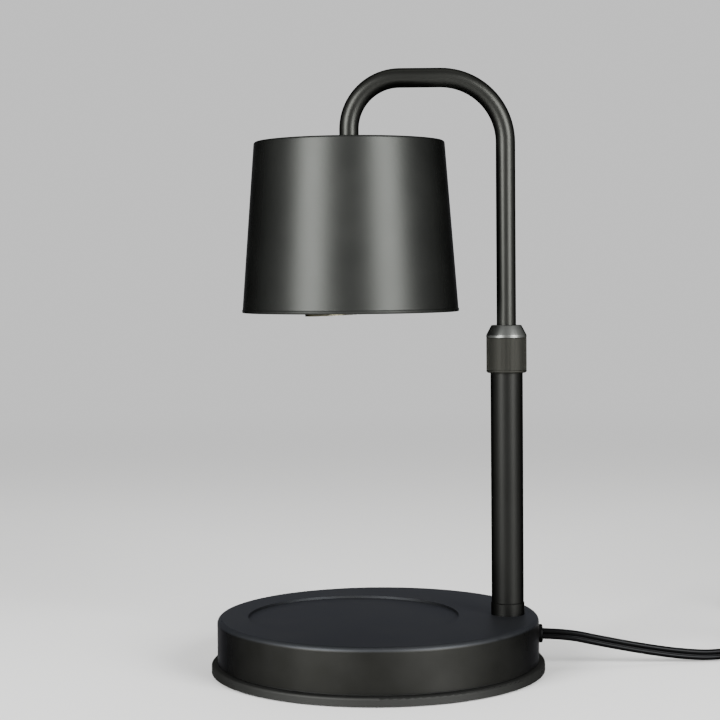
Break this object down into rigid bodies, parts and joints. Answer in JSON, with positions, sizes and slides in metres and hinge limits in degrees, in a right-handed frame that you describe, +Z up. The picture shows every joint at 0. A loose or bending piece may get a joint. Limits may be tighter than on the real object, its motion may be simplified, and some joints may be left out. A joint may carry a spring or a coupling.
{
  "type": "candle warmer lamp",
  "caption": "Candle warmer lamp: round weighted base with a candle recess, telescopic pole with a lock collar, bent arm, conical shade and a corded rotary dimmer.",
  "frame": {"origin": "middle of the base on the surface that it stands on", "axes": "+Z up; +X from the middle of the base towards the pole and the cord's exit; the shade hangs towards -X and +Y is the back as pictured"},
  "size_m": [0.3983, 0.2324, 0.2978],
  "materials": {
    "black_paint": "satin black paint",
    "foam_pad": "matt foam",
    "cast_iron": "rough",
    "zinc_steel": "zinc plated",
    "nylon": "natural nylon",
    "ceramic": "unglazed ceramic",
    "brass": "plain",
    "bulb_glass": "coated reflector glass",
    "lead_sheath": "grey sheath",
    "black_cord": "semi-gloss",
    "black_plastic": "fine texture",
    "board": "circuit board"
  },
  "bodies": {
    "root": {"base_shell": "black_paint", "base_plate": "black_paint", "pole_foot": "black_paint", "outer_tube": "black_paint", "foot_pad": "foam_pad", "base_weight": "cast_iron", "plate_screws": "zinc_steel", "weight_screw": "zinc_steel", "pole_pipe": "zinc_steel", "pole_washer": "zinc_steel", "pole_nut": "zinc_steel", "tube_ferrule": "zinc_steel", "dimmer_screws": "zinc_steel", "wire_connectors": "nylon", "dimmer_contacts": "brass", "plug_blades": "brass", "pole_lead": "lead_sheath", "base_leads": "lead_sheath", "cord_run": "black_cord", "cord_coil": "black_cord", "cord_end": "black_cord", "cord_tie": "black_cord", "cord_grommet": "black_cord", "dimmer_case_bottom": "black_plastic", "dimmer_case_top": "black_plastic", "plug_body": "black_plastic", "plug_relief": "black_plastic", "dimmer_board": "board", "dimmer_potentiometer": "board"},
    "collet": {"collet": "nylon"},
    "collar": {"lock_collar": "black_paint"},
    "slider": {"tube_guide": "nylon"},
    "arm": {"arm_tube": "black_paint", "guide_rings": "zinc_steel", "arm_lead": "lead_sheath", "shade": "black_paint", "shade_stud": "zinc_steel", "shade_washer": "zinc_steel", "shade_nut": "zinc_steel", "lampholder_bracket": "zinc_steel", "lampholder_screws": "zinc_steel", "lampholder_body": "ceramic", "lampholder_contacts": "brass", "lampholder_leads": "lead_sheath"},
    "bulb": {"bulb_base": "bulb_glass", "bulb_pins": "brass", "bulb_reflector": "bulb_glass", "bulb_lens": "bulb_glass", "bulb_capsule": "bulb_glass"},
    "dimmer_wheel": {"dimmer_knob": "black_plastic", "dimmer_shaft": "zinc_steel"}
  },
  "joints": [
    {"name": "collet_rise", "type": "slide", "parent": "root", "child": "collet", "axis": [0, 0, 1], "range_m": [0, 0.0015]},
    {"name": "collar_turn", "type": "hinge", "parent": "collet", "child": "collar", "pos_m": [0.0648, 0, 0.16], "axis": [0, 0, 1], "range_deg": [0, 361]},
    {"name": "height_slide", "type": "slide", "parent": "root", "child": "slider", "axis": [0, 0, 1], "range_m": [-0.07, 0.015], "deforming": ["pole_lead"]},
    {"name": "arm_swivel", "type": "hinge", "parent": "slider", "child": "arm", "pos_m": [0.0648, 0, 0.12], "axis": [0, 0, 1], "range_deg": [-170, 170]},
    {"name": "bulb_twist", "type": "hinge", "parent": "arm", "child": "bulb", "pos_m": [-0.0122, 0, 0.2238], "axis": [-0.0523, 0, 0.9986], "range_deg": [-20, 0]},
    {"name": "dimmer_turn", "type": "hinge", "parent": "root", "child": "dimmer_wheel", "pos_m": [0.2347, 0.0192, 0.02], "axis": [0, 0, 1], "range_deg": [0, 270]}
  ],
  "couplings": [
    {"joint": "collar_turn", "follows": "collet_rise", "rad_per_m": 4188.8}
  ]
}
